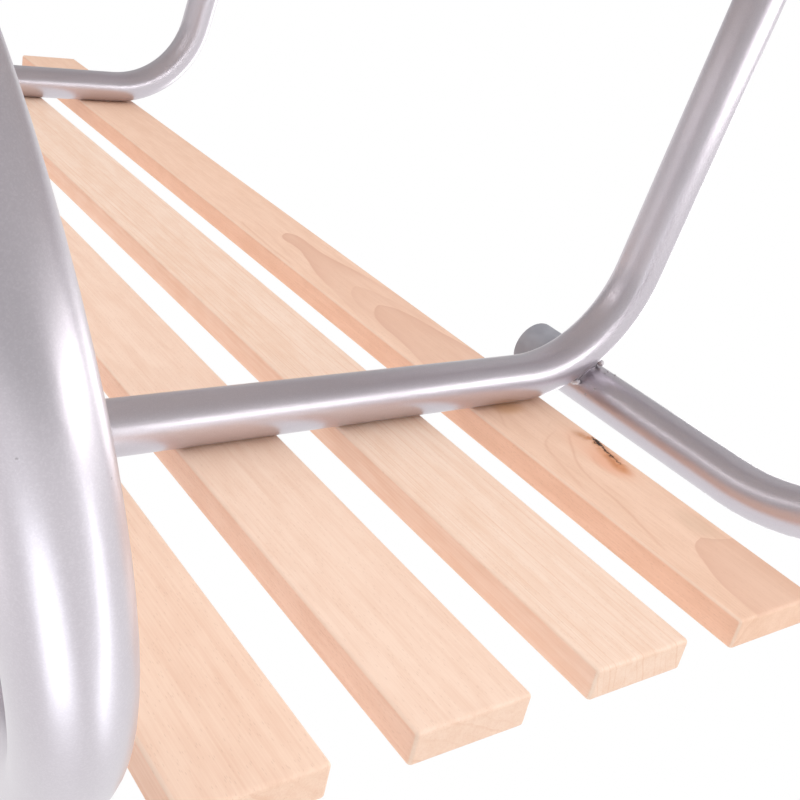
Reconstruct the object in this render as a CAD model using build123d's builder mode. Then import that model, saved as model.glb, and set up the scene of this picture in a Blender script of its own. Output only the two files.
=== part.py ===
"""Metal sled: two leaning bent-tube sides, two tube arches, four lengthwise wooden slats.

Millimetres. X runs across the sled, +Y is the direction of travel, +Z is up.
The origin lies on the ground under the middle of the sled.
"""

import os
from math import acos, atan2, cos, hypot, radians, sin, tan

from build123d import *

os.makedirs("parts", exist_ok=True)

# Steel tube, the same everywhere
TUBE_D = 20.0
TUBE_WALL = 1.5
TUBE_R = TUBE_D / 2
BORE_R = TUBE_R - TUBE_WALL

# Wooden seat slats
SLAT_W = 41.0
SLAT_T = 12.0
SLAT_LEN = 720.0
SLAT_PITCH = 66.6
SLAT_NOSE = 151.0        # slat front end ahead of the front arch
SLAT_EDGE_R = 1.5

# Arches: level cross tube, two bends, two splayed legs
ARCH_SPACING = 450.0
ARCH_FLAT = 208.0        # straight length of the cross tube
ARCH_BEND_R = 58.0       # axis radius
LEG_TRIM = 1.0           # legs stop this far above the runner's axis, blunting the cope's tips

# Sides: rail stub, half-round front loop and runner in one bent tube
RAIL_ANGLE = 55.5        # where the rail touches the arch bend, up from level
LOOP_R = 98.0            # axis radius
LOOP_LEAN = 11.0         # how far each side leans out, top to bottom
RAIL_AHEAD = 87.0        # rail straight ahead of the front arch
RAIL_BEHIND = 35.0       # rail stub behind the front arch
RUNNER_BEHIND = 127.0    # runner behind the rear arch

# Plastic end caps: plugs flush with the runners, sleeves pushed over the rails
CAP_FIT = 0.05           # clearance on the tube, all round
PLUG_DOME = 8.0
PLUG_FLANGE = 1.2
PLUG_LEN = 14.0
PLUG_LEAD = 1.0          # chamfer at the plug's inner end
PLUG_HOLLOW_R = 5.5
SLEEVE_WALL = 2.3
SLEEVE_LEN = 20.0        # how far a sleeve reaches over its tube
SLEEVE_END = 0.8         # thickness of its end at the rim
SLEEVE_DOME = 3.0

# Countersunk screws through the slats into the arches
SCREW_R = 2.4
SCREW_HEAD_R = 5.0
SCREW_HEAD_ANGLE = 90.0
SCREW_LEN = 20.0
SCREW_FIT = 0.2          # clearance of the shank in the slat, all round
SCREW_SLOT = 1.1
SCREW_SLOT_LEN = 5.4
SCREW_SLOT_DEEP = 1.6

# Weld beads
WELD = 2.2               # leg height of the beads round the legs
WELD_RAIL = 2.0          # leg height of the beads between rail and arch
WELD_RAIL_SPAN = 50.0    # part of the arch bend, in degrees, that such a bead may lie on
WELD_RAIL_LEN = 9.0      # its length along the rail, short of the crevice's open ends

# Derived positions, first as heights under the slats (which lie at height 0)
bend_x = ARCH_FLAT / 2
bend_h = -TUBE_R - ARCH_BEND_R
rail_x = bend_x + (ARCH_BEND_R + TUBE_D) * cos(radians(RAIL_ANGLE))
rail_h = bend_h + (ARCH_BEND_R + TUBE_D) * sin(radians(RAIL_ANGLE))
runner_x = rail_x + 2 * LOOP_R * sin(radians(LOOP_LEAN))
runner_h = rail_h - 2 * LOOP_R * cos(radians(LOOP_LEAN))

# Then as heights over the ground
seat_z = TUBE_R - runner_h
bend_z = bend_h + seat_z
rail_z = rail_h + seat_z
runner_z = TUBE_R

# Legs run from the end of the bend straight at the axis of the runner
leg_dx = runner_x - bend_x
leg_dz = bend_z - runner_z
leg_gap = hypot(leg_dx, leg_dz)
leg_splay = acos(ARCH_BEND_R / leg_gap) - atan2(leg_dz, leg_dx)
leg_top_x = bend_x + ARCH_BEND_R * cos(leg_splay)
leg_top_z = bend_z + ARCH_BEND_R * sin(leg_splay)
leg_end_x = runner_x - LEG_TRIM * sin(leg_splay)
leg_end_z = runner_z + LEG_TRIM * cos(leg_splay)

# Places along the sled
nose = RAIL_AHEAD + LOOP_R + TUBE_R
tail = ARCH_SPACING + RUNNER_BEHIND + PLUG_FLANGE + PLUG_DOME
front_y = (tail - nose) / 2
rear_y = front_y - ARCH_SPACING
slat_y = front_y + SLAT_NOSE - SLAT_LEN / 2
slat_xs = [-3 * SLAT_PITCH / 2, -SLAT_PITCH / 2, SLAT_PITCH / 2, 3 * SLAT_PITCH / 2]
runner_end_y = rear_y - RUNNER_BEHIND
rail_end_y = front_y - RAIL_BEHIND
screw_head_deep = (SCREW_HEAD_R - SCREW_R) / tan(radians(SCREW_HEAD_ANGLE / 2))


# The two arches are alike: an open hat of one bent tube, coped onto the runners
with BuildPart() as arch_front:
    with BuildLine(Plane(origin=(0, front_y, 0), x_dir=(1, 0, 0), z_dir=(0, -1, 0))) as path:
        Line((-leg_end_x, leg_end_z), (-leg_top_x, leg_top_z))
        RadiusArc((-leg_top_x, leg_top_z), (-bend_x, bend_z + ARCH_BEND_R), ARCH_BEND_R)
        Line((-bend_x, bend_z + ARCH_BEND_R), (bend_x, bend_z + ARCH_BEND_R))
        RadiusArc((bend_x, bend_z + ARCH_BEND_R), (leg_top_x, leg_top_z), ARCH_BEND_R)
        Line((leg_top_x, leg_top_z), (leg_end_x, leg_end_z))
    with BuildSketch(Plane(origin=path.line @ 0, z_dir=path.line % 0)):
        Circle(TUBE_R)
        Circle(BORE_R, mode=Mode.SUBTRACT)
    sweep()
    with Locations((-runner_x, front_y, runner_z), (runner_x, front_y, runner_z)):
        Cylinder(TUBE_R, 4 * TUBE_D, rotation=(90, 0, 0), mode=Mode.SUBTRACT)
    with Locations([(x, front_y, seat_z) for x in slat_xs]):
        Cylinder(SCREW_R, 4 * TUBE_WALL, mode=Mode.SUBTRACT)
arch_front.part.label = "arch_front"

with BuildPart() as arch_rear:
    with BuildLine(Plane(origin=(0, rear_y, 0), x_dir=(1, 0, 0), z_dir=(0, -1, 0))) as path:
        Line((-leg_end_x, leg_end_z), (-leg_top_x, leg_top_z))
        RadiusArc((-leg_top_x, leg_top_z), (-bend_x, bend_z + ARCH_BEND_R), ARCH_BEND_R)
        Line((-bend_x, bend_z + ARCH_BEND_R), (bend_x, bend_z + ARCH_BEND_R))
        RadiusArc((bend_x, bend_z + ARCH_BEND_R), (leg_top_x, leg_top_z), ARCH_BEND_R)
        Line((leg_top_x, leg_top_z), (leg_end_x, leg_end_z))
    with BuildSketch(Plane(origin=path.line @ 0, z_dir=path.line % 0)):
        Circle(TUBE_R)
        Circle(BORE_R, mode=Mode.SUBTRACT)
    sweep()
    with Locations((-runner_x, rear_y, runner_z), (runner_x, rear_y, runner_z)):
        Cylinder(TUBE_R, 4 * TUBE_D, rotation=(90, 0, 0), mode=Mode.SUBTRACT)
    with Locations([(x, rear_y, seat_z) for x in slat_xs]):
        Cylinder(SCREW_R, 4 * TUBE_WALL, mode=Mode.SUBTRACT)
arch_rear.part.label = "arch_rear"

# Each side is drawn in its own leaning plane: along the sled, and up the lean
lean_out = sin(radians(LOOP_LEAN))
lean_up = cos(radians(LOOP_LEAN))
left_plane = Plane(
    origin=(-rail_x, front_y, rail_z), x_dir=(0, 1, 0), z_dir=(lean_up, 0, -lean_out)
)
right_plane = Plane(
    origin=(rail_x, front_y, rail_z), x_dir=(0, 1, 0), z_dir=(lean_up, 0, lean_out)
)

with BuildPart() as side_left:
    with BuildLine(left_plane) as path:
        Line((-RAIL_BEHIND, 0), (RAIL_AHEAD, 0))
        ThreePointArc((RAIL_AHEAD, 0), (RAIL_AHEAD + LOOP_R, -LOOP_R), (RAIL_AHEAD, -2 * LOOP_R))
        Line((RAIL_AHEAD, -2 * LOOP_R), (-ARCH_SPACING - RUNNER_BEHIND, -2 * LOOP_R))
    with BuildSketch(Plane(origin=path.line @ 0, z_dir=path.line % 0)):
        Circle(TUBE_R)
        Circle(BORE_R, mode=Mode.SUBTRACT)
    sweep()
side_left.part.label = "side_left"

with BuildPart() as side_right:
    with BuildLine(right_plane) as path:
        Line((-RAIL_BEHIND, 0), (RAIL_AHEAD, 0))
        ThreePointArc((RAIL_AHEAD, 0), (RAIL_AHEAD + LOOP_R, -LOOP_R), (RAIL_AHEAD, -2 * LOOP_R))
        Line((RAIL_AHEAD, -2 * LOOP_R), (-ARCH_SPACING - RUNNER_BEHIND, -2 * LOOP_R))
    with BuildSketch(Plane(origin=path.line @ 0, z_dir=path.line % 0)):
        Circle(TUBE_R)
        Circle(BORE_R, mode=Mode.SUBTRACT)
    sweep()
side_right.part.label = "side_right"

# Slats, outer left to outer right, each countersunk over both arches
slat_z = seat_z + SLAT_T / 2
seat_top_z = seat_z + SLAT_T

with BuildPart() as slat_left_outer:
    with Locations((slat_xs[0], slat_y, slat_z)):
        Box(SLAT_W, SLAT_LEN, SLAT_T)
    fillet(slat_left_outer.edges(), SLAT_EDGE_R)
    with Locations((slat_xs[0], front_y, seat_top_z), (slat_xs[0], rear_y, seat_top_z)):
        CounterSinkHole(SCREW_R + SCREW_FIT, SCREW_HEAD_R, 2 * SLAT_T, SCREW_HEAD_ANGLE)
slat_left_outer.part.label = "slat_left_outer"

with BuildPart() as slat_left_inner:
    with Locations((slat_xs[1], slat_y, slat_z)):
        Box(SLAT_W, SLAT_LEN, SLAT_T)
    fillet(slat_left_inner.edges(), SLAT_EDGE_R)
    with Locations((slat_xs[1], front_y, seat_top_z), (slat_xs[1], rear_y, seat_top_z)):
        CounterSinkHole(SCREW_R + SCREW_FIT, SCREW_HEAD_R, 2 * SLAT_T, SCREW_HEAD_ANGLE)
slat_left_inner.part.label = "slat_left_inner"

with BuildPart() as slat_right_inner:
    with Locations((slat_xs[2], slat_y, slat_z)):
        Box(SLAT_W, SLAT_LEN, SLAT_T)
    fillet(slat_right_inner.edges(), SLAT_EDGE_R)
    with Locations((slat_xs[2], front_y, seat_top_z), (slat_xs[2], rear_y, seat_top_z)):
        CounterSinkHole(SCREW_R + SCREW_FIT, SCREW_HEAD_R, 2 * SLAT_T, SCREW_HEAD_ANGLE)
slat_right_inner.part.label = "slat_right_inner"

with BuildPart() as slat_right_outer:
    with Locations((slat_xs[3], slat_y, slat_z)):
        Box(SLAT_W, SLAT_LEN, SLAT_T)
    fillet(slat_right_outer.edges(), SLAT_EDGE_R)
    with Locations((slat_xs[3], front_y, seat_top_z), (slat_xs[3], rear_y, seat_top_z)):
        CounterSinkHole(SCREW_R + SCREW_FIT, SCREW_HEAD_R, 2 * SLAT_T, SCREW_HEAD_ANGLE)
slat_right_outer.part.label = "slat_right_outer"


# Caps on the four open tube ends. A cap is turned about the tube's axis;
# local +X of its profile points out of the tube.
def turn_plug(end_x, end_y, end_z):
    """Draw and turn one plug in the active part, its flange on the tube end at y = end_y."""
    out = Plane(origin=(end_x, end_y, end_z), x_dir=(0, -1, 0), z_dir=(1, 0, 0))
    plug_r = BORE_R - CAP_FIT
    with BuildSketch(out) as profile:
        with BuildLine():
            Polyline(
                (PLUG_FLANGE, TUBE_R),
                (0, TUBE_R),
                (0, plug_r),
                (PLUG_LEAD - PLUG_LEN, plug_r),
                (-PLUG_LEN, plug_r - PLUG_LEAD),
                (-PLUG_LEN, PLUG_HOLLOW_R),
                (0, PLUG_HOLLOW_R),
                (0, 0),
                (PLUG_FLANGE + PLUG_DOME, 0),
            )
            EllipticalCenterArc((PLUG_FLANGE, 0), PLUG_DOME, TUBE_R, start_angle=0, arc_size=90)
        make_face()
    revolve(profile.sketch, axis=Axis((end_x, end_y, end_z), (0, 1, 0)))


def turn_sleeve(end_x, end_y, end_z):
    """Draw and turn one sleeve cap in the active part, over the tube that ends at y = end_y."""
    out = Plane(origin=(end_x, end_y, end_z), x_dir=(0, -1, 0), z_dir=(1, 0, 0))
    inner_r = TUBE_R + CAP_FIT
    outer_r = TUBE_R + SLEEVE_WALL
    with BuildSketch(out) as profile:
        with BuildLine():
            Polyline(
                (SLEEVE_END, outer_r),
                (-SLEEVE_LEN, outer_r),
                (-SLEEVE_LEN, inner_r),
                (0, inner_r),
                (0, 0),
                (SLEEVE_END + SLEEVE_DOME, 0),
            )
            EllipticalCenterArc((SLEEVE_END, 0), SLEEVE_DOME, outer_r, start_angle=0, arc_size=90)
        make_face()
    revolve(profile.sketch, axis=Axis((end_x, end_y, end_z), (0, 1, 0)))


with BuildPart() as cap_rail_left:
    turn_sleeve(-rail_x, rail_end_y, rail_z)
cap_rail_left.part.label = "cap_rail_left"

with BuildPart() as cap_rail_right:
    turn_sleeve(rail_x, rail_end_y, rail_z)
cap_rail_right.part.label = "cap_rail_right"

with BuildPart() as cap_runner_left:
    turn_plug(-runner_x, runner_end_y, runner_z)
cap_runner_left.part.label = "cap_runner_left"

with BuildPart() as cap_runner_right:
    turn_plug(runner_x, runner_end_y, runner_z)
cap_runner_right.part.label = "cap_runner_right"


# Weld round the foot of a leg: what lies within one bead height of both tubes, outside both
def weld_foot(side, at_y):
    """Fill the corner between a leg and its runner; side is -1 for left, 1 for right."""
    foot = (side * leg_end_x, at_y, leg_end_z)
    up_leg = (-side * sin(leg_splay), 0, cos(leg_splay))
    with BuildSketch(Plane(origin=foot, z_dir=up_leg)) as ring:
        Circle(TUBE_R + WELD)
        Circle(TUBE_R, mode=Mode.SUBTRACT)
    extrude(ring.sketch, amount=TUBE_D)
    with Locations((side * runner_x, at_y, runner_z)):
        Cylinder(TUBE_R + WELD, 3 * TUBE_D, rotation=(90, 0, 0), mode=Mode.INTERSECT)
        Cylinder(TUBE_R, 4 * TUBE_D, rotation=(90, 0, 0), mode=Mode.SUBTRACT)


with BuildPart() as weld_front_left:
    weld_foot(-1, front_y)
weld_front_left.part.label = "weld_front_left"

with BuildPart() as weld_front_right:
    weld_foot(1, front_y)
weld_front_right.part.label = "weld_front_right"

with BuildPart() as weld_rear_left:
    weld_foot(-1, rear_y)
weld_rear_left.part.label = "weld_rear_left"

with BuildPart() as weld_rear_right:
    weld_foot(1, rear_y)
weld_rear_right.part.label = "weld_rear_right"


# Weld between rail and arch, which touch on the outer shoulder of the bend
def weld_shoulder(side):
    """Fill round the touching point of rail and arch bend; side is -1 or 1."""
    arch_plane = Plane(origin=(0, front_y, 0), x_dir=(side, 0, 0), z_dir=(0, -side, 0))
    with BuildLine(arch_plane) as bend:
        CenterArc((bend_x, bend_z), ARCH_BEND_R, RAIL_ANGLE - WELD_RAIL_SPAN / 2, WELD_RAIL_SPAN)
    with BuildSketch(Plane(origin=bend.line @ 0, z_dir=bend.line % 0)) as ring:
        Circle(TUBE_R + WELD_RAIL)
        Circle(TUBE_R, mode=Mode.SUBTRACT)
    sweep(ring.sketch, path=bend.line)
    with Locations((side * rail_x, front_y, rail_z)):
        Cylinder(TUBE_R + WELD_RAIL, WELD_RAIL_LEN, rotation=(90, 0, 0), mode=Mode.INTERSECT)
        Cylinder(TUBE_R, 5 * TUBE_D, rotation=(90, 0, 0), mode=Mode.SUBTRACT)


with BuildPart() as weld_rail_left:
    weld_shoulder(-1)
weld_rail_left.part.label = "weld_rail_left"

with BuildPart() as weld_rail_right:
    weld_shoulder(1)
weld_rail_right.part.label = "weld_rail_right"


# Countersunk screws, heads flush with the seat
def turn_screw(at_x, at_y):
    """Draw and turn one screw in the active part, with a crossed drive recess."""
    axis_plane = Plane(origin=(at_x, at_y, seat_top_z), x_dir=(1, 0, 0), z_dir=(0, -1, 0))
    with BuildSketch(axis_plane) as profile:
        with BuildLine():
            Polyline(
                (0, 0),
                (SCREW_HEAD_R, 0),
                (SCREW_R, -screw_head_deep),
                (SCREW_R, SCREW_R - SCREW_LEN),
                (0, -SCREW_LEN),
                close=True,
            )
        make_face()
    revolve(profile.sketch, axis=Axis((at_x, at_y, 0), (0, 0, 1)))
    with Locations((at_x, at_y, seat_top_z)):
        Box(SCREW_SLOT_LEN, SCREW_SLOT, 2 * SCREW_SLOT_DEEP, mode=Mode.SUBTRACT)
        Box(SCREW_SLOT, SCREW_SLOT_LEN, 2 * SCREW_SLOT_DEEP, mode=Mode.SUBTRACT)


with BuildPart() as screw_front_1:
    turn_screw(slat_xs[0], front_y)
screw_front_1.part.label = "screw_front_1"

with BuildPart() as screw_front_2:
    turn_screw(slat_xs[1], front_y)
screw_front_2.part.label = "screw_front_2"

with BuildPart() as screw_front_3:
    turn_screw(slat_xs[2], front_y)
screw_front_3.part.label = "screw_front_3"

with BuildPart() as screw_front_4:
    turn_screw(slat_xs[3], front_y)
screw_front_4.part.label = "screw_front_4"

with BuildPart() as screw_rear_1:
    turn_screw(slat_xs[0], rear_y)
screw_rear_1.part.label = "screw_rear_1"

with BuildPart() as screw_rear_2:
    turn_screw(slat_xs[1], rear_y)
screw_rear_2.part.label = "screw_rear_2"

with BuildPart() as screw_rear_3:
    turn_screw(slat_xs[2], rear_y)
screw_rear_3.part.label = "screw_rear_3"

with BuildPart() as screw_rear_4:
    turn_screw(slat_xs[3], rear_y)
screw_rear_4.part.label = "screw_rear_4"

export_step(arch_front.part, "parts/arch_front.step")
export_step(arch_rear.part, "parts/arch_rear.step")
export_step(side_left.part, "parts/side_left.step")
export_step(side_right.part, "parts/side_right.step")
export_step(slat_left_outer.part, "parts/slat_left_outer.step")
export_step(slat_left_inner.part, "parts/slat_left_inner.step")
export_step(slat_right_inner.part, "parts/slat_right_inner.step")
export_step(slat_right_outer.part, "parts/slat_right_outer.step")
export_step(cap_rail_left.part, "parts/cap_rail_left.step")
export_step(cap_rail_right.part, "parts/cap_rail_right.step")
export_step(cap_runner_left.part, "parts/cap_runner_left.step")
export_step(cap_runner_right.part, "parts/cap_runner_right.step")
export_step(weld_front_left.part, "parts/weld_front_left.step")
export_step(weld_front_right.part, "parts/weld_front_right.step")
export_step(weld_rear_left.part, "parts/weld_rear_left.step")
export_step(weld_rear_right.part, "parts/weld_rear_right.step")
export_step(weld_rail_left.part, "parts/weld_rail_left.step")
export_step(weld_rail_right.part, "parts/weld_rail_right.step")
export_step(screw_front_1.part, "parts/screw_front_1.step")
export_step(screw_front_2.part, "parts/screw_front_2.step")
export_step(screw_front_3.part, "parts/screw_front_3.step")
export_step(screw_front_4.part, "parts/screw_front_4.step")
export_step(screw_rear_1.part, "parts/screw_rear_1.step")
export_step(screw_rear_2.part, "parts/screw_rear_2.step")
export_step(screw_rear_3.part, "parts/screw_rear_3.step")
export_step(screw_rear_4.part, "parts/screw_rear_4.step")
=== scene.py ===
import math
import random
from collections import namedtuple

import bpy
from mathutils import Matrix, Vector


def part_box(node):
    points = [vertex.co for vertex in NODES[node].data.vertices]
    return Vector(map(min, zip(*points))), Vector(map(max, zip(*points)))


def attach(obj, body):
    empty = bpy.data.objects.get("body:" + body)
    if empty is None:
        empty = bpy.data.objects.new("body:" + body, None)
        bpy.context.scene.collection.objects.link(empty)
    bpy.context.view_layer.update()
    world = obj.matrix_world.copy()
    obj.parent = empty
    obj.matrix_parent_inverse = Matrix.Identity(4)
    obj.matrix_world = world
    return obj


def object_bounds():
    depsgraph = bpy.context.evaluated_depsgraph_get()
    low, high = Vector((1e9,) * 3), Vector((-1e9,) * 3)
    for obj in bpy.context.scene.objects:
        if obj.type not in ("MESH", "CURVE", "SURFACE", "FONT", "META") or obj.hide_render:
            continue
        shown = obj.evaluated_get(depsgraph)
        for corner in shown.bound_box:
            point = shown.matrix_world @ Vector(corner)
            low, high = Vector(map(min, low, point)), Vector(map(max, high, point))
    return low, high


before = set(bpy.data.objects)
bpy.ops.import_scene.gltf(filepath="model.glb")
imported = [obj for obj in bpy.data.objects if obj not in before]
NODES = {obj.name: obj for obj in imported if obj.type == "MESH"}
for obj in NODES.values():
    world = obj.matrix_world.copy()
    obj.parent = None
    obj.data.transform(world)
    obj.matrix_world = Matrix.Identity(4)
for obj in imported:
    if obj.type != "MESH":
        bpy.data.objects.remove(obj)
CAD_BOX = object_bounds()
TUBES = ["arch_front", "arch_rear", "side_left", "side_right"]
CAPS = ["cap_rail_left", "cap_rail_right", "cap_runner_left", "cap_runner_right"]
SCREWS = [f"screw_{end}_{number}" for end in ("front", "rear") for number in (1, 2, 3, 4)]
WELDS = [name for name in NODES if name.startswith("weld_")]

X, Y, Z = 0, 1, 2
MM = 0.001
WHITE = (1, 1, 1)


def middle(node, axis):
    """Where the middle of a solid lies along one axis."""
    low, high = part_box(node)
    return (low[axis] + high[axis]) / 2


# The tube work that the weld drops follow, as the solids have it
TUBE_R = 0.010
ARCH_BEND_R = 0.058
LEG_SPLAY = math.radians(10.03)
SHOULDER = math.radians(55.5)  # where a rail touches the bend of the arch, up from level
FRONT_Y = middle("arch_front", Y)
REAR_Y = middle("arch_rear", Y)
RAIL_X = middle("cap_rail_right", X)
RAIL_Z = middle("cap_rail_right", Z)
RUNNER_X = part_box("side_right")[1].x - TUBE_R


# ---------------------------------------------------------------- node helpers
COLOR = "NodeSocketColor"
NUMBER = "NodeSocketFloat"
VECTOR = "NodeSocketVector"


class Tree:
    """Short calls for building one shader node tree."""

    def __init__(self, tree):
        self.nodes = tree.nodes
        self.links = tree.links

    def put(self, socket, value):
        if isinstance(value, bpy.types.NodeSocket):
            self.links.new(value, socket)
        else:
            socket.default_value = value

    def fill(self, node, inputs):
        for key, value in inputs.items():
            self.put(node.inputs[key], value)

    def new(self, kind, inputs, **props):
        node = self.nodes.new(kind)
        for key, value in props.items():
            setattr(node, key, value)
        self.fill(node, inputs)
        return node

    def math(self, operation, a, b=0.0, c=0.0):
        return self.new("ShaderNodeMath", {0: a, 1: b, 2: c}, operation=operation).outputs[0]

    def add(self, *values):
        total = values[0]
        for value in values[1:]:
            total = self.math("ADD", total, value)
        return total

    def times(self, *values):
        product = values[0]
        for value in values[1:]:
            product = self.math("MULTIPLY", product, value)
        return product

    def minus(self, a, b):
        return self.math("SUBTRACT", a, b)

    def fall(self, value, reach=1.0):
        """1 where the value is 0, and about a third of it for each reach further on."""
        return self.math("EXPONENT", self.times(value, -1.0 / reach))

    def vec(self, operation, a, b):
        return self.new("ShaderNodeVectorMath", {0: a, 1: b}, operation=operation).outputs["Vector"]

    def length(self, vector):
        return self.new("ShaderNodeVectorMath", {0: vector}, operation="LENGTH").outputs["Value"]

    def scaled(self, vector, scale):
        inputs = {0: vector, "Scale": scale}
        return self.new("ShaderNodeVectorMath", inputs, operation="SCALE").outputs["Vector"]

    def split(self, vector):
        return self.new("ShaderNodeSeparateXYZ", {0: vector}).outputs

    def join(self, x, y, z):
        return self.new("ShaderNodeCombineXYZ", {0: x, 1: y, 2: z}).outputs[0]

    def mix(self, factor, a, b, blend="MIX"):
        node = self.new("ShaderNodeMix", {0: factor, 6: a, 7: b}, data_type="RGBA", blend_type=blend)
        return node.outputs[2]

    def remap(self, value, low, high, to_low=0.0, to_high=1.0, smooth=True):
        inputs = {0: value, 1: low, 2: high, 3: to_low, 4: to_high}
        kind = "SMOOTHSTEP" if smooth else "LINEAR"
        return self.new("ShaderNodeMapRange", inputs, interpolation_type=kind).outputs[0]

    def noise(self, vector, scale, detail=2.0, rough=0.5, output="Fac"):
        inputs = {"Vector": vector, "Scale": scale, "Detail": detail, "Roughness": rough}
        return self.new("ShaderNodeTexNoise", inputs).outputs[output]

    def cells(self, vector, scale):
        return self.new("ShaderNodeTexVoronoi", {"Vector": vector, "Scale": scale}).outputs

    def use(self, shared, inputs):
        return self.new("ShaderNodeGroup", inputs, node_tree=shared).outputs


def group(name, inputs, outputs):
    """A shader group with its sockets made; returns (group, Tree, what it is given, what it gives)."""
    made = bpy.data.node_groups.new(name, "ShaderNodeTree")
    for label, kind, default in inputs:
        socket = made.interface.new_socket(label, in_out="INPUT", socket_type=kind)
        if default is not None:
            socket.default_value = default
    for label, kind in outputs:
        made.interface.new_socket(label, in_out="OUTPUT", socket_type=kind)
    given = made.nodes.new("NodeGroupInput")
    gives = made.nodes.new("NodeGroupOutput")
    return made, Tree(made), given.outputs, gives


def material(name, color):
    """A new material; returns (material, Tree, its shader, the place on the piece)."""
    made = bpy.data.materials.new(name)
    made.use_nodes = True
    made.diffuse_color = (*color, 1)
    t = Tree(made.node_tree)
    shader = made.node_tree.nodes["Principled BSDF"]
    coord = t.nodes.new("ShaderNodeTexCoord").outputs["Object"]
    return made, t, shader, coord


def bump(t, shader, height, strength, distance, round_over=0.0):
    """Fine relief; round_over evens the shading across edges, within so many metres of them."""
    node = t.new("ShaderNodeBump", {"Height": height, "Strength": strength, "Distance": distance})
    if round_over:
        rounded = t.new("ShaderNodeBevel", {"Radius": round_over}, samples=8)
        t.put(node.inputs["Normal"], rounded.outputs[0])
    t.put(shader.inputs["Normal"], node.outputs[0])


# ---------------------------------------------------------------- silver lacquer
# How often each mark comes back in a metre
CLOUDS = 14.0
SHEEN_PATCHES = 40.0
DUST_NIBS = 75.0
ORANGE_PEEL = 420.0
FLAKES = 4200.0

# How much each one lightens the lacquer, or darkens it
CLOUD_LIGHT = 0.30
GLINT_LIGHT = 0.4
NIB_DARK = 0.30

# How much of the relief each one takes
PEEL_RELIEF = 0.5
GLINT_RELIEF = 0.25
NIB_RELIEF = 0.9

NIBS_LEFT_OUT = 0.84  # share of the places for a nib that stay clean
NIB_EDGE = (0.022, 0.012)  # from its rim to its full height, as shares of the room it has
NIB_COLOR = (0.12, 0.10, 0.10, 1)
LACQUER_SHEEN = (0.30, 0.36)  # smoothest and roughest
LACQUER_DEPTH = 0.12 * MM
SOFT_EDGE = 3.4 * MM  # evens the shading where a tube's straight and bent parts meet


def silver_flake():
    """Fine metal flakes, soft cloudiness, orange peel and a few dust nibs."""
    made, t, given, gives = group(
        "silver_flake",
        [("Vector", VECTOR, None),
         ("Light", COLOR, (0.5, 0.49, 0.5, 1)),
         ("Dark", COLOR, (0.4, 0.38, 0.4, 1)),
         ("Peel", NUMBER, 1.0)],
        [("Color", COLOR), ("Roughness", NUMBER), ("Height", NUMBER)],
    )
    place = given["Vector"]
    cloud = t.remap(t.noise(place, CLOUDS), 0.25, 0.75)
    flake = t.cells(place, FLAKES)
    glint = t.math("POWER", t.split(flake["Color"])[0], 2.0)
    tone = t.add(t.times(cloud, CLOUD_LIGHT), t.times(glint, GLINT_LIGHT))
    lacquer = t.mix(tone, given["Dark"], given["Light"])

    speck = t.cells(place, DUST_NIBS)
    kept = t.math("GREATER_THAN", t.split(speck["Color"])[1], NIBS_LEFT_OUT)
    nib = t.times(t.remap(speck["Distance"], *NIB_EDGE), kept)
    peel = t.noise(place, ORANGE_PEEL)
    height = t.add(t.times(peel, PEEL_RELIEF), t.times(glint, GLINT_RELIEF), t.times(nib, NIB_RELIEF))
    t.fill(gives, {
        "Color": t.mix(t.times(nib, NIB_DARK), lacquer, NIB_COLOR),
        "Roughness": t.remap(t.noise(place, SHEEN_PATCHES, 3.0), 0.3, 0.75, *LACQUER_SHEEN),
        "Height": t.times(height, given["Peel"]),
    })
    return made


FLAKE = silver_flake()


def silver_lacquer(name, light, dark, peel, strength):
    """Lacquer on the tubes, or thicker and rougher on the welds; the welds' copy is given a lighter colour
    as a painted highlight.
    """
    made, t, shader, coord = material(name, light)
    coat = t.use(FLAKE, {"Vector": coord, "Light": (*light, 1), "Dark": (*dark, 1), "Peel": peel})
    t.fill(shader, {
        "Base Color": coat["Color"],
        "Roughness": coat["Roughness"],
        "Metallic": 0.9,
        "Coat Weight": 0.12,
        "Coat Roughness": 0.22,
    })
    bump(t, shader, coat["Height"], strength, LACQUER_DEPTH, SOFT_EDGE)
    return made


SILVER = silver_lacquer("tube_lacquer", (0.690, 0.650, 0.695), (0.580, 0.540, 0.585), 1.0, 0.20)
# The weld lacquer is painted lighter than the tube lacquer, as a painted highlight on the weld drops
BEAD_PAINTED_LIGHTER = silver_lacquer("weld_lacquer_painted_lighter", (0.84, 0.81, 0.83), (0.60, 0.565, 0.59), 1.6, 0.5)


# ---------------------------------------------------------------- beech
# How often each mark comes back in a metre, across the board and along it
PITH_SWAY = (9.0, 2.2)
RING_WAVES = (90.0, 3.5)
BANDS = (55.0, 3.0)
MOTTLE = (230.0, 60.0)
STREAKS = (480.0, 7.0)
FIBRES = (1500.0, 22.0)
RAY_CELLS = (1900.0, 420.0)
LINE_WAVER = (110.0, 60.0)

# How much each kind of mark darkens the board
BAND_DARK = 0.34
MOTTLE_DARK = 0.44
STREAK_DARK = 0.22
FIBRE_DARK = 0.44
MIDDLE_TONE = 0.34  # taken off again, so that the board keeps its own colour between them
RAY_DARK = 0.24

RAYS_LEFT_OUT = 0.62  # share of the places for a ray fleck that stay plain
RAY_EDGE = (0.34, 0.16)  # from its rim to its full strength, as shares of the room it has
LATE_WOOD = (0.93, 0.95)  # where in a ring the dark is full, and where it starts to end
END_RINGS = 0.85  # how clearly the end grain shows its rings
END_DARK = 0.16
EDGE_HIGHLIGHT = 0.45  # how far the rounded long edges go to their painted highlight colour
WOOD_SHEEN = (0.46, 0.58)  # of the palest wood and the darkest
WOOD_RELIEF = 0.28
WOOD_DEPTH = 0.16 * MM
RAY_COLOR = (0.60, 0.36, 0.24, 1)
# Painted shade on the long sides
SIDE_SHADE_TINT = (1.0, 0.905, 0.87, 1)
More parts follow.
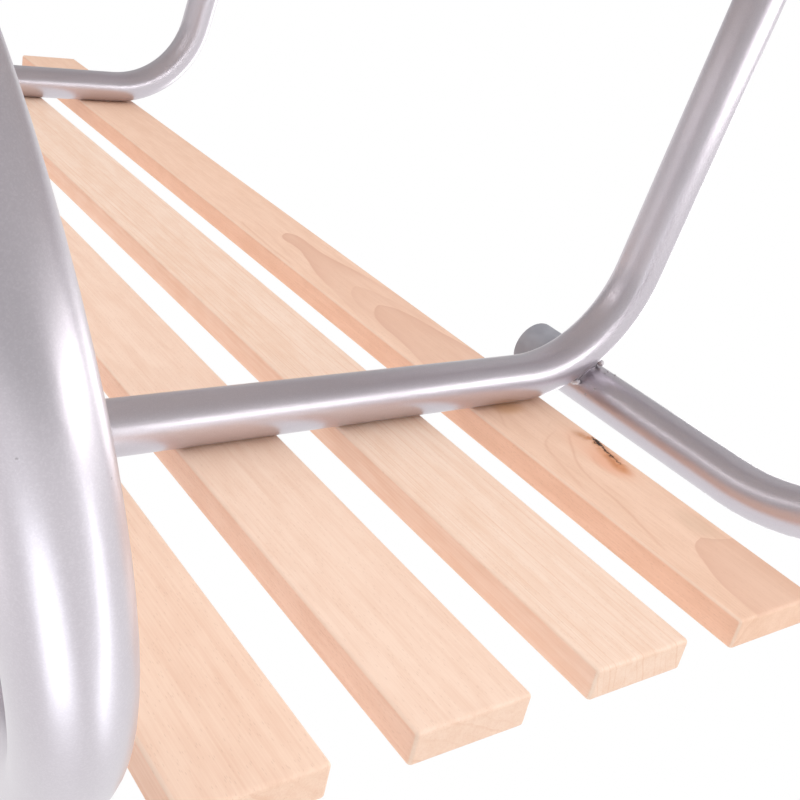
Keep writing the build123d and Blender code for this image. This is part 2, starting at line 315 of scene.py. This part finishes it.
# Painted highlight on the rounded long edges
EDGE_HIGHLIGHT_COLOR = (0.95, 0.75, 0.61, 1)
END_COLOR = (0.78, 0.47, 0.31, 1)


def drawn_out(t, place, often):
    """The place on the board as marks need it that are longer than they are wide."""
    across, along = often
    return t.vec("MULTIPLY", place, (across, along, across))


def beech_grain():
    """Growth rings about a pith line that wanders along the board, fibres and ray flecks."""
    made, t, given, gives = group(
        "beech_grain",
        [("Vector", VECTOR, None),
         ("Pith", VECTOR, None),
         ("Seed", NUMBER, 0.0),
         ("Rings", NUMBER, 260.0),
         ("Wander", NUMBER, 0.012),
         ("Ring strength", NUMBER, 0.5),
         ("Push", NUMBER, 0.0),
         ("Onset", NUMBER, 0.35),
         ("Uneven", NUMBER, 1.2)],
        [("Tone", NUMBER), ("Fleck", NUMBER), ("Height", NUMBER)],
    )
    place = t.vec("ADD", given["Vector"], t.join(0.0, given["Seed"], 0.0))

    # how many rings lie between here and the pith
    sway = t.noise(drawn_out(t, place, PITH_SWAY), 1.0, output="Color")
    sway = t.scaled(t.vec("SUBTRACT", sway, (0.5, 0.5, 0.5)), given["Wander"])
    from_pith = t.vec("ADD", t.vec("SUBTRACT", given["Vector"], given["Pith"]), sway)
    radius = t.length(t.vec("MULTIPLY", from_pith, (1.0, 0.0, 1.0)))
    radius = t.add(radius, given["Push"])
    uneven = t.times(t.noise(drawn_out(t, place, RING_WAVES), 1.0), given["Uneven"])
    count = t.add(t.times(radius, given["Rings"]), uneven)

    # a ring darkens towards its late wood, each one to its own depth
    within = t.math("FRACT", count)
    full, stops = LATE_WOOD
    late = t.times(t.remap(within, given["Onset"], full), t.remap(within, stops, 1.0, 1.0, 0.0))
    ring = t.add(t.math("FLOOR", count), given["Seed"])
    own = t.new("ShaderNodeTexWhiteNoise", {"W": ring}, noise_dimensions="1D").outputs["Value"]
    late = t.times(late, t.math("POWER", own, 1.6))

    fibre = t.noise(drawn_out(t, place, FIBRES), 1.0, 3.0, 0.6)
    streak = t.noise(drawn_out(t, place, STREAKS), 1.0)
    band = t.noise(drawn_out(t, place, BANDS), 1.0)
    mottle = t.noise(drawn_out(t, place, MOTTLE), 1.0, 3.0)
    tone = t.times(late, given["Ring strength"])
    marks = ((fibre, FIBRE_DARK), (streak, STREAK_DARK), (band, BAND_DARK), (mottle, MOTTLE_DARK))
    for mark, dark in marks:
        tone = t.add(tone, t.times(t.remap(mark, 0.3, 0.7), dark))

    ray = t.cells(drawn_out(t, place, RAY_CELLS), 1.0)
    kept = t.math("GREATER_THAN", t.split(ray["Color"])[0], RAYS_LEFT_OUT)
    fleck = t.times(t.remap(ray["Distance"], *RAY_EDGE), kept)
    t.fill(gives, {
        "Tone": t.minus(tone, MIDDLE_TONE),
        "Fleck": fleck,
        "Height": t.minus(t.times(fibre, 0.6), t.times(fleck, 0.25)),
    })
    return made


GRAIN = beech_grain()


def beech(name, pith, seed, rings, wander, ring_strength, onset, light, dark, figure=None):
    """The wood of one board, with its own rings, colour and, on the heart board, drawn figure."""
    made, t, shader, coord = material(name, light)
    x, y = t.split(coord)[:2]
    normal = t.split(t.nodes.new("ShaderNodeNewGeometry").outputs["Normal"])
    sideways = t.math("ABSOLUTE", normal[X])
    end = t.remap(t.math("ABSOLUTE", normal[Y]), 0.75, 0.95)
    grain = t.use(GRAIN, {
        "Vector": coord,
        "Pith": pith,
        "Seed": seed,
        "Rings": rings,
        "Wander": wander,
        # end grain shows every ring
        "Ring strength": t.math("MAXIMUM", ring_strength, t.times(end, END_RINGS)),
        "Push": knot_push(t, x, y) if figure else 0.0,
        "Onset": onset,
    })
    color = t.mix(grain["Tone"], (*light, 1), (*dark, 1))
    color = t.mix(t.times(grain["Fleck"], RAY_DARK), color, RAY_COLOR)
    if figure:
        color = t.mix(end, figure(t, x, y, coord, color), color)

    # painted shade: the long sides are painted darker and redder than the flat faces, as less light falls
    # on them
    side = t.remap(sideways, 0.80, 0.97)
    color = t.mix(side, color, SIDE_SHADE_TINT, "MULTIPLY")
    # painted highlight: the rounded long edges are painted a little paler, where they catch the light
    edge = t.times(t.remap(sideways, 0.15, 0.45), t.remap(sideways, 0.95, 0.75))
    color = t.mix(t.times(edge, EDGE_HIGHLIGHT), color, EDGE_HIGHLIGHT_COLOR)
    # the end grain is a little darker and drier
    color = t.mix(t.times(end, END_DARK), color, END_COLOR)
    t.fill(shader, {
        "Base Color": color,
        "Roughness": t.remap(grain["Tone"], 0.0, 1.0, *WOOD_SHEEN, smooth=False),
        "Specular IOR Level": 0.32,
    })
    bump(t, shader, grain["Height"], WOOD_RELIEF, WOOD_DEPTH)
    return made


# ---------------------------------------------------------------- figure of the heart board
# Its lines are lists of places in mm from the middle of the sled: (along it, across it)
Tongue = namedtuple("Tongue", "inner outer strength reach pales_from pales_to keeps end_fade")
RingLine = namedtuple("RingLine", "points strength half_width")
Patch = namedtuple("Patch", "across along half_across half_along strength color")

HEARTWOOD = (0.770, 0.456, 0.326, 1)
RING_COLOR = (0.72, 0.40, 0.26, 1)
BURN_COLOR = (0.60, 0.235, 0.090, 1)
CRACK_BROWN = (0.30, 0.12, 0.055, 1)
# Painted shade in the crack's open depth
CRACK_DEPTH_SHADE = (0.022, 0.014, 0.011, 1)
TONGUE_DARK = 0.32  # all of a tongue
BORDER_DARK = 0.60  # more at its outlines, fading over its own reach
RIM_DARK = 0.24  # and more at the very rim
RIM_REACH = MM / 0.7
WAVER = 1.6 * MM  # how far a drawn line strays to and fro
JAG = 3.4 * MM  # how far the crack does
BURN_STRENGTH = 0.85
CRACK_BROWN_STRENGTH = 0.55
CRACK_DEPTH_SHADE_STRENGTH = 0.95

# Outlines of the heartwood, towards the sled's middle and towards its side
TONGUES = (
    Tongue(
        inner=[(0, 103.5), (1, 101.3), (3, 98.6), (6, 96.6), (10, 95.9), (17, 96.8), (25, 96.7),
               (33, 94.9), (43, 92.2), (55, 89.2), (68, 86.8), (82, 85.0), (130, 78.0)],
        outer=[(0, 101.0), (2, 105.3), (5, 107.2), (10, 107.9), (18, 107.5), (27, 107.8),
               (37, 109.4), (50, 112.4), (62, 115.2), (76, 117.5), (100, 121.0), (130, 124.0)],
        strength=0.88, reach=11 * MM, pales_from=46 * MM, pales_to=80 * MM, keeps=0.40, end_fade=40.0,
    ),
    Tongue(
        inner=[(73, 103.0), (74, 100.6), (78, 96.4), (85, 92.2), (93, 89.8), (102, 88.2),
               (130, 84.0), (150, 80.0)],
        outer=[(73, 100.0), (75, 103.6), (80, 107.0), (88, 110.0), (100, 113.5), (120, 118.0),
               (150, 124.0)],
        strength=0.42, reach=6 * MM, pales_from=85 * MM, pales_to=105 * MM, keeps=0.5, end_fade=40.0,
    ),
    Tongue(
        inner=[(96, 103.0), (97, 99.8), (99, 97.0), (102, 94.4), (107, 91.2), (113, 88.9),
               (122, 87.7), (134, 87.0), (146, 85.4), (160, 83.2), (178, 80.0)],
        outer=[(96, 99.0), (97, 101.8), (99, 104.6), (103, 108.2), (110, 110.7), (120, 112.8),
               (134, 115.6), (150, 118.6), (178, 124.0)],
        strength=0.80, reach=10 * MM, pales_from=125 * MM, pales_to=165 * MM, keeps=0.55, end_fade=16.0,
    ),
    Tongue(
        inner=[(304, 109.0), (305.5, 105.0), (307, 101.4), (311, 97.2), (318, 94.0), (324, 91.2),
               (331, 89.5), (341, 88.6), (347, 88.4)],
        outer=[(304, 105.0), (306, 108.0), (308, 112.0), (309.5, 118.0), (310, 124.0), (347, 126.0)],
        strength=0.70, reach=20 * MM, pales_from=320 * MM, pales_to=345 * MM, keeps=0.75, end_fade=0.1,
    ),
)
# Thin rings, most of them swinging round the knot
RING_LINES = (
    RingLine([(223, 108.5), (225, 104.0), (228, 98.2), (232, 93.0), (237, 90.0), (245, 88.0),
              (257, 85.7), (272, 82.0)], 0.30, 1.0),
    RingLine([(226, 110.5), (233, 105.8), (240, 101.2), (247, 96.8), (254, 94.0), (264, 92.2),
              (276, 91.4), (291, 88.4), (312, 84.0)], 0.42, 0.8),
    RingLine([(262, 95.2), (270, 95.6), (277, 96.2), (285, 97.0)], 0.25, 0.6),
    RingLine([(200, 93.0), (205, 90.2), (212, 86.6), (222, 82.2)], 0.30, 0.8),
    RingLine([(215, 115.0), (217, 110.0), (221, 104.5), (226, 99.5)], 0.30, 0.8),
    RingLine([(243, 110.0), (246, 106.8), (250, 104.6), (255, 103.6), (260, 104.8), (263, 108.0),
              (264.5, 112.0)], 0.38, 0.8),
    RingLine([(-20, 84.6), (0, 82.6), (20, 81.8), (50, 81.0)], 0.35, 0.7),
    RingLine([(-22, 93.4), (-5, 92.0), (12, 89.6), (34, 86.5), (60, 84.0)], 0.22, 0.9),
)
# Soft stains round the knot and further along, and two patches of painted shade where the front arch meets
# the board
PATCHES = (
    Patch(111.0, 246.0, 12.0, 30.0, 0.45, (0.90, 0.500, 0.335, 1)),
    # painted shade in the narrow gap where the front arch touches the board
    Patch(97.0, 202.5, 11.0, 7.0, 0.75, (0.74, 0.420, 0.225, 1)),
    # painted shadow of the front arch on the board behind it
    Patch(114.0, 165.0, 12.0, 8.0, 0.40, (0.62, 0.400, 0.280, 1)),
    Patch(109.5, 252.0, 8.0, 16.0, 0.70, (0.86, 0.450, 0.290, 1)),
    Patch(112.5, 256.5, 5.0, 9.0, 0.85, (0.70, 0.300, 0.140, 1)),
    Patch(114.5, 246.0, 4.5, 10.0, 0.70, (0.74, 0.340, 0.180, 1)),
    Patch(114.5, 230.5, 4.5, 7.0, 0.55, (0.66, 0.380, 0.240, 1)),
    Patch(112.0, 298.0, 9.0, 15.0, 0.45, (0.74, 0.500, 0.350, 1)),
)
KNOT = (116.5 * MM, 245.0 * MM)  # across, along
KNOT_HALF = (12.0 * MM, 30.0 * MM)
KNOT_PUSH = -8.5 * MM
BURN = [(225, 112.0), (230, 114.4), (236, 116.6), (242, 115.8), (248, 114.6), (254, 113.4),
        (259, 112.6), (263, 113.0)]
BURN_HALF_WIDTH = 3.0
CRACK = [(232.5, 118.3), (235, 117.9), (238, 117.5), (241, 117.1), (244, 116.1), (247, 115.6),
         (250, 115.0), (252, 114.7), (255, 114.5)]
# How far the crack opens to each side: (along the sled, half its width)
CRACK_HALF = [(232.5, 0.0), (234.5, 0.55), (236, 1.10), (238, 1.35), (239.8, 0.95), (241.2, 0.20),
              (243, 0.45), (245, 0.20), (247, 0.50), (249, 0.40), (250.5, 0.10), (252, 0.16), (255, 0.0)]


def drawn_line(t, y, points):
    """A smooth line on the board: its place across for each place along."""
    start, stop = points[0][0], points[-1][0]
    low = min(across for _, across in points)
    high = max(across for _, across in points)
    node = t.nodes.new("ShaderNodeFloatCurve")
    line = node.mapping.curves[0].points
    spots = [((along - start) / (stop - start), (across - low) / (high - low)) for along, across in points]
    line[0].location = spots[0]
    line[1].location = spots[-1]
    for spot in spots[1:-1]:
        line.new(*spot)
    node.mapping.update()
    t.put(node.inputs["Value"], t.remap(y, start * MM, stop * MM, smooth=False))
    return t.math("MULTIPLY_ADD", node.outputs[0], (high - low) * MM, low * MM)


def line_ends(t, y, points, fade_in=5.0, fade_out=14.0):
    """1 along a drawn line, fading at both of its ends over so many mm."""
    start, stop = points[0][0], points[-1][0]
    begins = t.remap(y, start * MM, (start + fade_in) * MM)
    return t.times(begins, t.remap(y, stop * MM, (stop - fade_out) * MM))


def stroke(t, x, y, points, half_width):
    """1 on a drawn line, falling off softly to both of its sides; the half width in mm."""
    off = t.times(t.minus(x, drawn_line(t, y, points)), 1.0 / (half_width * MM))
    return t.fall(t.times(off, off))


def knot_push(t, x, y):
    """Rings swing round the knot."""
    dx = t.math("DIVIDE", t.minus(x, KNOT[0]), KNOT_HALF[0])
    dy = t.math("DIVIDE", t.minus(y, KNOT[1]), KNOT_HALF[1])
    return t.times(t.fall(t.add(t.times(dx, dx), t.times(dy, dy))), KNOT_PUSH)


def paint_tongue(t, x, y, color, tongue):
    """Heartwood between two outlines, darkest along its rim and paler further back."""
    depth = t.math("MINIMUM", t.minus(x, drawn_line(t, y, tongue.inner)),
                   t.minus(drawn_line(t, y, tongue.outer), x))
    inside = t.math("MAXIMUM", depth, 0.0)
    shade = t.math("MULTIPLY_ADD", t.fall(inside, RIM_REACH), RIM_DARK, TONGUE_DARK)
    shade = t.math("MULTIPLY_ADD", t.fall(inside, tongue.reach), BORDER_DARK, shade)
    body = t.times(
        t.remap(depth, -0.5 * MM, 0.6 * MM),
        shade,
        t.remap(y, tongue.pales_from, tongue.pales_to, 1.0, tongue.keeps),
        line_ends(t, y, tongue.inner, 0.5, tongue.end_fade),
        tongue.strength,
    )
    return t.mix(body, color, HEARTWOOD)


def paint_ring(t, x, y, color, ring):
    """One thin ring line."""
    line = t.times(stroke(t, x, y, ring.points, ring.half_width), line_ends(t, y, ring.points))
    return t.mix(t.times(line, ring.strength), color, RING_COLOR)


def paint_patch(t, x, y, coord, color, patch):
    """A soft oval patch with a ragged edge; it serves both the stains and the painted shade."""
    flat = t.join(
        t.math("MULTIPLY_ADD", x, 1.0 / (patch.half_across * MM), -patch.across / patch.half_across),
        t.math("MULTIPLY_ADD", y, 1.0 / (patch.half_along * MM), -patch.along / patch.half_along),
        0.0,
    )
    ragged = t.times(t.minus(t.noise(coord, 0.45 / (patch.half_across * MM), 3.0), 0.5), 0.4)
    stain = t.remap(t.add(t.length(flat), ragged), 1.0, 0.2)
    return t.mix(t.times(stain, patch.strength), color, patch.color)


def paint_burn(t, x, y, coord, color):
    """The red-brown streak that runs through the knot."""
    line = t.times(stroke(t, x, y, BURN, BURN_HALF_WIDTH), line_ends(t, y, BURN, 8.0, 10.0))
    ragged = t.remap(t.noise(coord, 380.0, 3.0), 0.35, 0.62, 0.25, 1.0)
    return t.mix(t.times(line, ragged, BURN_STRENGTH), color, BURN_COLOR)


def paint_crack(t, x, y, coord, color):
    """The torn crack across the knot: brown at its edges, the wood's own stain, and black in its depth as
    painted shade in the open gap.
    """
    jag = t.times(t.minus(t.noise(coord, 620.0, 4.0, 0.65), 0.5), JAG)
    off = t.math("ABSOLUTE", t.add(t.minus(x, drawn_line(t, y, CRACK)), jag))
    torn = t.remap(t.noise(coord, 900.0), 0.35, 0.65, 0.45, 1.35)
    gap = t.minus(off, t.times(drawn_line(t, y, CRACK_HALF), torn))
    along = line_ends(t, y, CRACK, 1.0, 1.0)
    edge = t.times(t.remap(gap, 1.1 * MM, 0.0), along, CRACK_BROWN_STRENGTH)
    # painted shade: black where the crack is open
    hole = t.times(t.remap(gap, 0.25 * MM, -0.15 * MM), along, CRACK_DEPTH_SHADE_STRENGTH)
    return t.mix(hole, t.mix(edge, color, CRACK_BROWN), CRACK_DEPTH_SHADE)


def heart_figure(t, x, y, coord, color):
    """Nested heartwood tongues, ring lines round a knot, and the crack across it."""
    waver = t.minus(t.noise(drawn_out(t, coord, LINE_WAVER), 1.0, 3.0), 0.5)
    unsteady_x = t.add(x, t.times(waver, WAVER))
    for tongue in TONGUES:
        color = paint_tongue(t, unsteady_x, y, color, tongue)
    for ring in RING_LINES:
        color = paint_ring(t, unsteady_x, y, color, ring)
    for patch in PATCHES:
        color = paint_patch(t, x, y, coord, color, patch)
    color = paint_burn(t, unsteady_x, y, coord, color)
    return paint_crack(t, x, y, coord, color)


WOODS = {
    "slat_right_outer": beech(
        "beech_heart_board", pith=(0.104, 0.0, 0.228), seed=0.31, rings=210.0, wander=0.030,
        ring_strength=0.12, onset=0.35, light=(0.950, 0.660, 0.500), dark=(0.855, 0.560, 0.405),
        figure=heart_figure),
    "slat_right_inner": beech(
        "beech_straight_board", pith=(0.190, 0.0, 0.150), seed=1.7, rings=420.0, wander=0.012,
        ring_strength=0.75, onset=0.66, light=(0.965, 0.745, 0.605), dark=(0.880, 0.610, 0.455)),
    "slat_left_inner": beech(
        "beech_plain_board", pith=(-0.10, 0.0, 0.330), seed=3.9, rings=300.0, wander=0.010,
        ring_strength=0.20, onset=0.55, light=(0.965, 0.725, 0.580), dark=(0.880, 0.610, 0.465)),
    "slat_left_outer": beech(
        "beech_rose_board", pith=(-0.02, 0.0, 0.120), seed=5.3, rings=260.0, wander=0.012,
        ring_strength=0.22, onset=0.45, light=(0.965, 0.705, 0.550), dark=(0.880, 0.590, 0.440)),
}


# ---------------------------------------------------------------- caps and screws
def cap_plastic():
    """Grey moulded plastic with a fine speckled skin."""
    made, t, shader, coord = material("cap_plastic", (0.33, 0.34, 0.38))
    speckle = t.noise(coord, 700.0, 3.0)
    cloud = t.remap(t.noise(coord, 90.0), 0.3, 0.7)
    t.fill(shader, {
        "Base Color": t.mix(cloud, (0.30, 0.305, 0.345, 1), (0.37, 0.375, 0.42, 1)),
        "Roughness": t.remap(speckle, 0.2, 0.8, 0.42, 0.60),
    })
    bump(t, shader, speckle, 0.25, 0.1 * MM)
    return made


def screw_zinc():
    """Bright zinc plating with faint marks round the screw."""
    made, t, shader, coord = material("screw_zinc", (0.66, 0.67, 0.70))
    marks = t.noise(t.vec("MULTIPLY", coord, (900.0, 900.0, 4000.0)), 1.0, 3.0)
    t.fill(shader, {
        "Base Color": t.mix(marks, (0.58, 0.59, 0.60, 1), (0.76, 0.76, 0.74, 1)),
        "Roughness": t.remap(marks, 0.2, 0.8, 0.22, 0.40),
        "Metallic": 1.0,
    })
    bump(t, shader, marks, 0.2, 0.05 * MM)
    return made


def dress(names, made):
    for name in names:
        NODES[name].data.materials.clear()
        NODES[name].data.materials.append(made)


dress(TUBES, SILVER)
dress(WELDS, BEAD_PAINTED_LIGHTER)
dress(CAPS, cap_plastic())
dress(SCREWS, screw_zinc())
for slat, wood in WOODS.items():
    dress([slat], wood)


# ---------------------------------------------------------------- weld beads
WELD_SEED = 7
BALL_RADIUS = 1.0  # each point's own size brings the ball down to a drop
BALL_ROUNDNESS = 3

# Drops round the foot of each leg
FOOT_DROPS = 40
FOOT_DROP_SIZES = (1.35 * MM, 1.8 * MM)
FOOT_REACH = TUBE_R + 0.7 * MM  # from the leg's axis to the middles of the drops
FOOT_RISE = 0.4 * MM  # how far up the leg the drops lie from the crossing line
FOOT_STEP_PLAY = 0.15  # share of a step by which a drop may be early or late

# Drops on both sides of the place where a rail lies on the arch: the row's places along the rail,
# and how far it lies from the middle of the joint
RAIL_ROW = (-5.2 * MM, -3.0 * MM, -0.6 * MM, 1.8 * MM, 4.0 * MM, 5.5 * MM)
RAIL_ROW_OFF = 7.4 * MM
RAIL_DROP_SIZES = (1.2 * MM, 1.7 * MM)
RAIL_PLAY_ALONG = (-0.4 * MM, 0.4 * MM)
RAIL_PLAY_ACROSS = (-0.6 * MM, 0.4 * MM)

# Spatter that stuck to the rail beside the joint: how far round the rail it lies, in radians,
# and how far ahead of the arch
SPATTER = 4
SPATTER_TURN = (0.45, 1.15)
SPATTER_AHEAD = (9.5 * MM, 15.0 * MM)
SPATTER_SIZES = (0.3 * MM, 0.6 * MM)


def bead_tree():
    """Points with a size become drops; returns the tree and its two inputs' identifiers."""
    tree = bpy.data.node_groups.new("weld_drops", "GeometryNodeTree")
    tree.interface.new_socket("Geometry", in_out="INPUT", socket_type="NodeSocketGeometry")
    radius = tree.interface.new_socket("Drop radius", in_out="INPUT", socket_type="NodeSocketFloat")
    facets = tree.interface.new_socket("Roundness", in_out="INPUT", socket_type="NodeSocketInt")
    tree.interface.new_socket("Geometry", in_out="OUTPUT", socket_type="NodeSocketGeometry")
    source = tree.nodes.new("NodeGroupInput")
    target = tree.nodes.new("NodeGroupOutput")
    ball = tree.nodes.new("GeometryNodeMeshIcoSphere")
    size = tree.nodes.new("GeometryNodeInputNamedAttribute")
    size.data_type = "FLOAT"
    size.inputs["Name"].default_value = "drop"
    scatter = tree.nodes.new("GeometryNodeInstanceOnPoints")
    real = tree.nodes.new("GeometryNodeRealizeInstances")
    smooth = tree.nodes.new("GeometryNodeSetShadeSmooth")
    paint = tree.nodes.new("GeometryNodeSetMaterial")
    paint.inputs["Material"].default_value = BEAD_PAINTED_LIGHTER
    for output, socket in (
        (source.outputs["Geometry"], scatter.inputs["Points"]),
        (source.outputs["Drop radius"], ball.inputs["Radius"]),
        (source.outputs["Roundness"], ball.inputs["Subdivisions"]),
        (ball.outputs["Mesh"], scatter.inputs["Instance"]),
        (size.outputs["Attribute"], scatter.inputs["Scale"]),
        (scatter.outputs[0], real.inputs[0]),
        (real.outputs[0], smooth.inputs[0]),
        (smooth.outputs[0], paint.inputs[0]),
        (paint.outputs[0], target.inputs[0]),
    ):
        tree.links.new(output, socket)
    return tree, radius.identifier, facets.identifier


DROPS, DROP_RADIUS, ROUNDNESS = bead_tree()


def show(made):
    """Puts a new object in the scene."""
    bpy.context.scene.collection.objects.link(made)
    return made


def drops(name, places):
    """One plain mesh of weld drops at (point, radius) places."""
    mesh = bpy.data.meshes.new(name + "_points")
    mesh.from_pydata([point for point, _ in places], [], [])
    sizes = mesh.attributes.new("drop", "FLOAT", "POINT")
    sizes.data.foreach_set("value", [radius for _, radius in places])
    raw = show(bpy.data.objects.new(name + "_raw", mesh))
    grow = raw.modifiers.new("drops", "NODES")
    grow.node_group = DROPS
    grow[DROP_RADIUS] = BALL_RADIUS
    grow[ROUNDNESS] = BALL_ROUNDNESS
    seen = raw.evaluated_get(bpy.context.evaluated_depsgraph_get())
    baked = bpy.data.meshes.new_from_object(seen)
    bpy.data.objects.remove(raw)
    made = show(bpy.data.objects.new(name, baked))
    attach(made, "root")


def leg_foot_drops(rng, side, at_y):
    """A bead on the crossing line of two equal tubes; side is -1 on the left and 1 on the right."""
    foot = Vector((side * RUNNER_X, at_y, TUBE_R))
    up = Vector((-side * math.sin(LEG_SPLAY), 0, math.cos(LEG_SPLAY)))
    out = Vector((side * math.cos(LEG_SPLAY), 0, math.sin(LEG_SPLAY)))
    places = []
    for step in range(FOOT_DROPS):
        turn = 2 * math.pi * (step + rng.uniform(-FOOT_STEP_PLAY, FOOT_STEP_PLAY)) / FOOT_DROPS
        point = foot + up * (FOOT_REACH * abs(math.sin(turn)) + FOOT_RISE)
        point += out * (FOOT_REACH * math.cos(turn)) + Vector((0, FOOT_REACH * math.sin(turn), 0))
        size = rng.uniform(*FOOT_DROP_SIZES)
        # no drop stands out past the solids
        point.x = max(CAD_BOX[0][X] + size, min(CAD_BOX[1][X] - size, point.x))
        places.append((point, size))
    return places


def rail_joint_drops(rng, side):
    """Beads in the two crevices between rail and arch, and the spatter beside them."""
    normal = Vector((side * math.cos(SHOULDER), 0, math.sin(SHOULDER)))
    down_arch = Vector((side * math.sin(SHOULDER), 0, -math.cos(SHOULDER)))
    touch = Vector((side * RAIL_X, FRONT_Y, RAIL_Z)) - normal * TUBE_R

    def between(u, v):
        """Midway between both tubes, u along the rail and v down the arch from where they touch."""
        rail = v * v / (2 * TUBE_R)
        arch = -u * u / (2 * TUBE_R) - v * v / (2 * (ARCH_BEND_R + TUBE_R))
        return touch + Vector((0, u, 0)) + down_arch * v + normal * ((rail + arch) / 2)

    places = []
    for way in (-1, 1):
        for u in RAIL_ROW:
            point = between(u + rng.uniform(*RAIL_PLAY_ALONG),
                            way * (RAIL_ROW_OFF + rng.uniform(*RAIL_PLAY_ACROSS)))
            places.append((point, rng.uniform(*RAIL_DROP_SIZES)))
        for _ in range(SPATTER):
            turn = way * rng.uniform(*SPATTER_TURN)
            point = touch + Vector((0, rng.uniform(*SPATTER_AHEAD), 0))
            point += normal * (TUBE_R - TUBE_R * math.cos(turn))
            point += down_arch * (TUBE_R * math.sin(turn))
            places.append((point, rng.uniform(*SPATTER_SIZES)))
    return places


weld_rng = random.Random(WELD_SEED)
for end, at_y in (("front", FRONT_Y), ("rear", REAR_Y)):
    for label, side in (("left", -1), ("right", 1)):
        drops(f"bead_{end}_{label}", leg_foot_drops(weld_rng, side, at_y))
for label, side in (("left", -1), ("right", 1)):
    drops(f"bead_rail_{label}", rail_joint_drops(weld_rng, side))


# ---------------------------------------------------------------- floor and room
FLOOR_HALF = 6
ROOM_LIGHT = 0.48


def floor_paper():
    """Pale matt paper that shows the sled's shadow and no shine."""
    made, t, shader, coord = material("floor_paper", (0.57, 0.57, 0.57))
    t.fill(shader, {
        "Base Color": t.mix(t.noise(coord, 3.0), (0.55, 0.55, 0.555, 1), (0.59, 0.59, 0.59, 1)),
        "Roughness": 0.9,
        "Specular IOR Level": 0.0,
    })
    return made


def lay_floor():
    """One flat sheet under the sled, which isn't part of it."""
    corners = [(FLOOR_HALF * x, FLOOR_HALF * y, 0) for x, y in ((-1, -1), (1, -1), (1, 1), (-1, 1))]
    mesh = bpy.data.meshes.new("floor")
    mesh.from_pydata(corners, [], [(0, 1, 2, 3)])
    mesh.materials.append(floor_paper())
    show(bpy.data.objects.new("floor", mesh))


def paint_room():
    """White walls where they are seen or reflected, dimmer where they only give light."""
    world = bpy.data.worlds.new("studio")
    bpy.context.scene.world = world
    world.use_nodes = True
    t = Tree(world.node_tree)
    t.nodes.clear()
    ray = t.nodes.new("ShaderNodeLightPath").outputs
    seen = t.math("MAXIMUM", ray["Is Camera Ray"], ray["Is Glossy Ray"])
    seen = t.math("MAXIMUM", seen, ray["Is Transmission Ray"])
    strength = t.remap(seen, 0.0, 1.0, ROOM_LIGHT, 1.0, smooth=False)
    wall = t.new("ShaderNodeBackground", {"Color": (*WHITE, 1), "Strength": strength})
    t.new("ShaderNodeOutputWorld", {"Surface": wall.outputs[0]})


lay_floor()
paint_room()


# ---------------------------------------------------------------- lamps
COOL = (0.90, 0.96, 1.0)


def lamp(name, place, aim, size, power, lights=True, shines=True, tint=WHITE):
    """A soft box; lights is whether it lights dull surfaces, shines whether gloss reflects it."""
    data = bpy.data.lights.new(name, "AREA")
    data.shape = "RECTANGLE"
    data.size, data.size_y = size
    data.energy = power
    data.color = tint
    made = show(bpy.data.objects.new(name, data))
    made.location = place
    made.rotation_euler = (Vector(aim) - Vector(place)).to_track_quat("-Z", "Y").to_euler()
    made.visible_camera = False
    made.visible_diffuse = lights
    made.visible_glossy = shines


lamp("overhead", (-0.4, 0.3, 2.4), (0, 0, 0.1), (2.2, 2.2), 26, shines=False)
lamp("front_box", (1.15, 1.80, 0.34), (0, 0.19, 0.19), (1.3, 0.55), 13, shines=False)
lamp("low_right_box", (0.32, 0.55, 0.045), (0.04, 0.195, 0.19), (0.50, 0.080), 0.60, lights=False)
lamp("window_box", (-0.60, 1.16, 1.05), (-0.17, 0.38, 0.10), (0.55, 0.90), 2.9,
     lights=False, tint=COOL)
lamp("strip_box", (0.030, 0.545, 0.270), (-0.165, 0.385, 0.105), (0.030, 0.30), 0.13,
     lights=False, tint=COOL)
lamp("floor_strip", (-0.150, 0.05, 0.004), (-0.150, 0.05, 1.0), (0.022, 0.42), 0.16, lights=False)
lamp("side_box", (2.1, -0.6, 1.0), (0, 0, 0.1), (0.8, 1.4), 9)
lamp("left_box", (-2.0, -0.2, 0.9), (0, 0, 0.1), (1.0, 1.2), 7)
lamp("floor_fill", (0.0, 0.15, 0.003), (0.0, 0.15, 1.0), (1.3, 1.5), 3.75, shines=False)


# ---------------------------------------------------------------- camera
# It stands at floor level ahead of the sled and looks back and up at it, turned upside down
CAMERA_PLACE = (-0.21802, 0.50290, 0.005)
CAMERA_RIGHT = Vector((0.80538, 0.55714, -0.20237))
CAMERA_UP = Vector((0.10331, -0.46812, -0.87760))
CAMERA_BACK = Vector((-0.58368, 0.68590, -0.43458))
SENSOR_WIDTH = 36.0  # in mm, as the lens is
LENS = 50.65

camera_data = bpy.data.cameras.new("camera")
camera_data.sensor_width = SENSOR_WIDTH
camera_data.lens = LENS
camera_data.clip_start = 5 * MM
camera = show(bpy.data.objects.new("camera", camera_data))
camera_turn = Matrix((CAMERA_RIGHT, CAMERA_UP, CAMERA_BACK)).transposed().to_4x4()
camera.matrix_world = Matrix.Translation(CAMERA_PLACE) @ camera_turn
bpy.context.scene.camera = camera
bpy.context.scene.view_settings.view_transform = "Standard"
